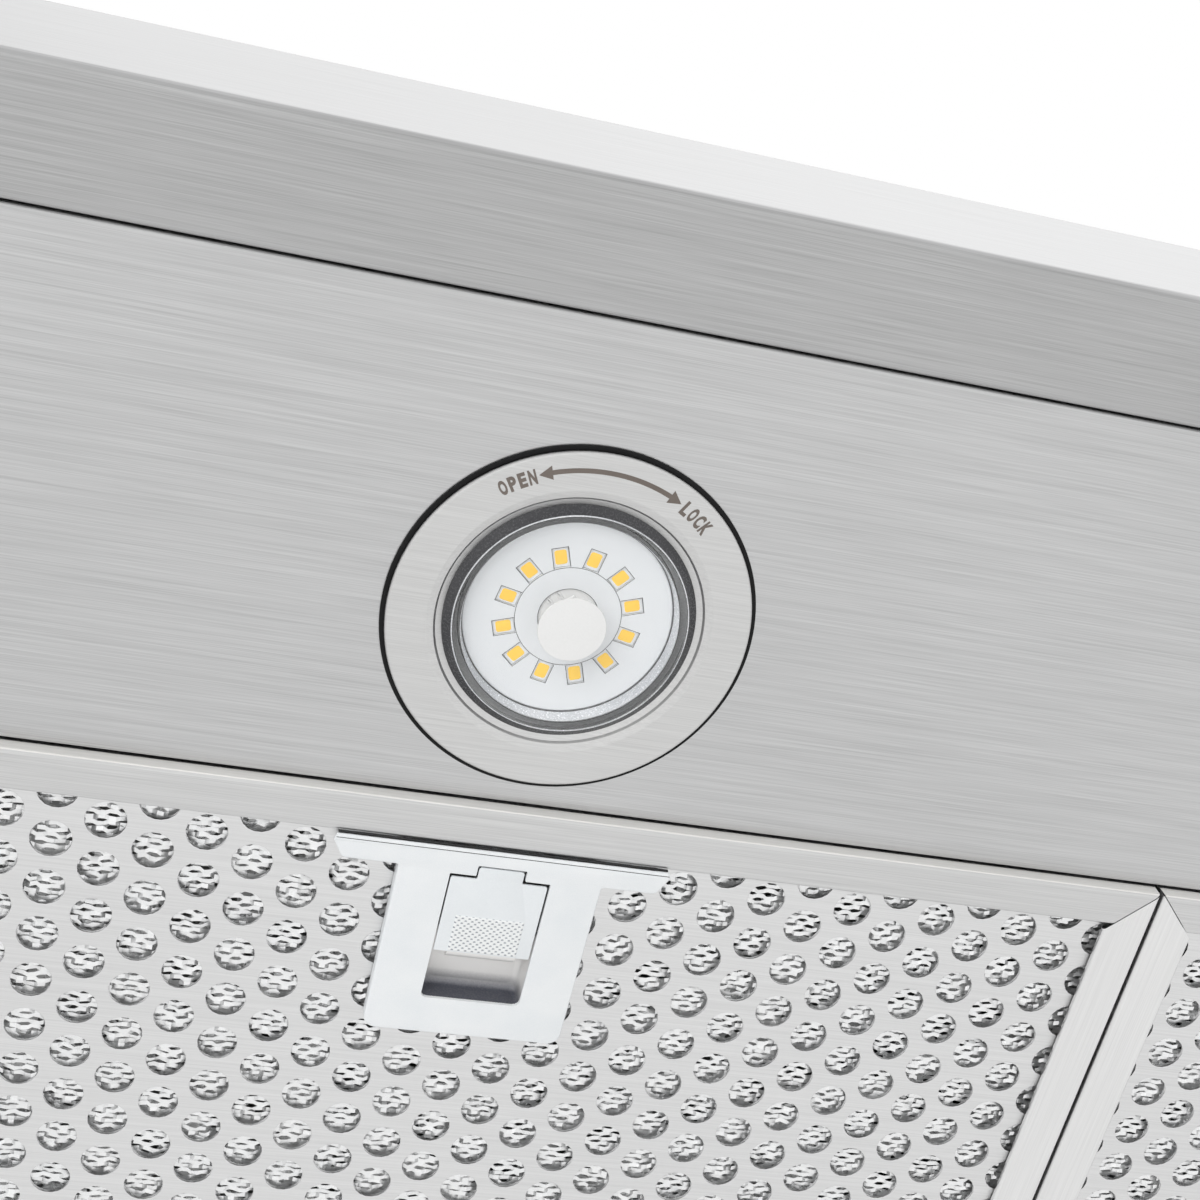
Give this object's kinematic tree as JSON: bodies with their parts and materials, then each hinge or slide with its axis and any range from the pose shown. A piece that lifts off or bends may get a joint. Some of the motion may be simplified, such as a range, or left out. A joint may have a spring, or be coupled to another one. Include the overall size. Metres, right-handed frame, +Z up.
{
  "type": "wall mount range hood",
  "caption": "Wall mounted kitchen range hood: pyramid canopy on a square band, telescoping chimney, twist-lock lamps, latched mesh filters and a blower with a damped outlet.",
  "frame": {"origin": "on the wall plane, at mid width, level with the underside of the bottom rim", "axes": "+X to the right seen facing the wall, +Y into the wall, +Z up"},
  "size_m": [0.9, 0.5025, 0.6926],
  "materials": {
    "brushed_stainless": "linear brushed stainless steel, satin",
    "plain_sheet": "plain mill finish sheet",
    "lamp_bezel_steel": "satin pressed steel",
    "filter_steel": "brushed stainless steel",
    "filter_mesh": "expanded aluminium mesh, bright",
    "latch_zinc": "pale matte galvanised sheet",
    "lens_glass": "clear glass",
    "lamp_white": "white moulded plastic",
    "led_phosphor": "yellow phosphor resin",
    "black_rubber": "black seal rubber",
    "lamp_can_metal": "die cast, plain",
    "button_steel": "turned stainless steel",
    "button_chrome": "bright plated ring",
    "circuit_board": "green circuit board",
    "black_plastic": "black moulded plastic",
    "blower_paint": "dark grey powder coat",
    "motor_metal": "plain motor casing",
    "zinc_plate": "zinc plated"
  },
  "bodies": {
    "hood": {"skirt_band": "brushed_stainless", "canopy_hood": "brushed_stainless", "back_panel": "plain_sheet", "top_plate": "plain_sheet", "cable_gland": "black_plastic", "lower_chimney": "brushed_stainless", "lamp_panel": "brushed_stainless", "button_bezels": "button_chrome", "control_board": "circuit_board", "blower_housing": "blower_paint", "blower_motor": "motor_metal", "motor_bracket": "zinc_plate", "outlet_collar": "black_plastic", "damper_pin": "zinc_plate", "housing_screws": "zinc_plate", "control_box": "black_plastic", "lamp_gasket_left": "black_rubber", "lamp_reflector_left": "lamp_white", "lamp_leds_left": "led_phosphor", "led_board_left": "lamp_white", "lamp_can_left": "lamp_can_metal", "lamp_gasket_right": "black_rubber", "lamp_reflector_right": "lamp_white", "lamp_leds_right": "led_phosphor", "led_board_right": "lamp_white", "lamp_can_right": "lamp_can_metal"},
    "chimney_extension": {"upper_chimney": "brushed_stainless", "chimney_bracket": "plain_sheet"},
    "fan_wheel": {"impeller": "black_plastic"},
    "front_flap": {"damper_flap_front": "black_plastic"},
    "rear_flap": {"damper_flap_rear": "black_plastic"},
    "lamp_cover_left": {"lamp_bezel_left": "lamp_bezel_steel", "lamp_lens_left": "lens_glass", "lens_seal_left": "black_rubber"},
    "lamp_cover_right": {"lamp_bezel_right": "lamp_bezel_steel", "lamp_lens_right": "lens_glass", "lens_seal_right": "black_rubber"},
    "filter_1": {"filter_frame_1": "filter_steel", "filter_face_1": "filter_steel", "filter_back_1": "filter_steel", "filter_mesh_1": "filter_mesh", "latch_plate_1": "latch_zinc"},
    "latch_1": {"latch_slider_1": "latch_zinc"},
    "filter_2": {"filter_frame_2": "filter_steel", "filter_face_2": "filter_steel", "filter_back_2": "filter_steel", "filter_mesh_2": "filter_mesh", "latch_plate_2": "latch_zinc"},
    "latch_2": {"latch_slider_2": "latch_zinc"},
    "filter_3": {"filter_frame_3": "filter_steel", "filter_face_3": "filter_steel", "filter_back_3": "filter_steel", "filter_mesh_3": "filter_mesh", "latch_plate_3": "latch_zinc"},
    "latch_3": {"latch_slider_3": "latch_zinc"},
    "button_1": {"push_button_1": "button_steel"},
    "button_2": {"push_button_2": "button_steel"},
    "button_3": {"push_button_3": "button_steel"},
    "button_4": {"push_button_4": "button_steel"},
    "button_5": {"push_button_5": "button_steel"}
  },
  "joints": [
    {"name": "chimney_slide", "type": "slide", "parent": "hood", "child": "chimney_extension", "axis": [0, 0, 1], "range_m": [0, 0.25]},
    {"name": "fan_spin", "type": "hinge", "parent": "hood", "child": "fan_wheel", "pos_m": [0, -0.135, 0.16], "axis": [1, 0, 0], "continuous": true},
    {"name": "front_flap_swing", "type": "hinge", "parent": "hood", "child": "front_flap", "pos_m": [0, -0.135, 0.2852], "axis": [-1, 0, 0], "range_deg": [0, 80]},
    {"name": "rear_flap_swing", "type": "hinge", "parent": "hood", "child": "rear_flap", "pos_m": [0, -0.135, 0.2852], "axis": [1, 0, 0], "range_deg": [0, 80]},
    {"name": "lamp_twist_left", "type": "hinge", "parent": "hood", "child": "lamp_cover_left", "pos_m": [-0.2822, -0.4153, 0.004], "axis": [0, 0, -1], "range_deg": [0, 25]},
    {"name": "lamp_twist_right", "type": "hinge", "parent": "hood", "child": "lamp_cover_right", "pos_m": [0.2822, -0.4153, 0.004], "axis": [0, 0, -1], "range_deg": [0, 25]},
    {"name": "filter_swing_1", "type": "hinge", "parent": "hood", "child": "filter_1", "pos_m": [-0.284, -0.0244, 0.0002], "axis": [1, 0, 0], "range_deg": [0, 60]},
    {"name": "latch_slide_1", "type": "slide", "parent": "filter_1", "child": "latch_1", "axis": [0, 1, 0], "range_m": [0, 0.008], "stiffness_N_per_m": 250, "springref_m": -0.002},
    {"name": "filter_swing_2", "type": "hinge", "parent": "hood", "child": "filter_2", "pos_m": [0, -0.0244, 0.0002], "axis": [1, 0, 0], "range_deg": [0, 60]},
    {"name": "latch_slide_2", "type": "slide", "parent": "filter_2", "child": "latch_2", "axis": [0, 1, 0], "range_m": [0, 0.008], "stiffness_N_per_m": 250, "springref_m": -0.002},
    {"name": "filter_swing_3", "type": "hinge", "parent": "hood", "child": "filter_3", "pos_m": [0.284, -0.0244, 0.0002], "axis": [1, 0, 0], "range_deg": [0, 60]},
    {"name": "latch_slide_3", "type": "slide", "parent": "filter_3", "child": "latch_3", "axis": [0, 1, 0], "range_m": [0, 0.008], "stiffness_N_per_m": 250, "springref_m": -0.002},
    {"name": "button_press_1", "type": "slide", "parent": "hood", "child": "button_1", "axis": [0, 1, 0], "range_m": [0, 0.0025], "stiffness_N_per_m": 400, "springref_m": -0.001},
    {"name": "button_press_2", "type": "slide", "parent": "hood", "child": "button_2", "axis": [0, 1, 0], "range_m": [0, 0.0025], "stiffness_N_per_m": 400, "springref_m": -0.001},
    {"name": "button_press_3", "type": "slide", "parent": "hood", "child": "button_3", "axis": [0, 1, 0], "range_m": [0, 0.0025], "stiffness_N_per_m": 400, "springref_m": -0.001},
    {"name": "button_press_4", "type": "slide", "parent": "hood", "child": "button_4", "axis": [0, 1, 0], "range_m": [0, 0.0025], "stiffness_N_per_m": 400, "springref_m": -0.001},
    {"name": "button_press_5", "type": "slide", "parent": "hood", "child": "button_5", "axis": [0, 1, 0], "range_m": [0, 0.0025], "stiffness_N_per_m": 400, "springref_m": -0.001}
  ]
}
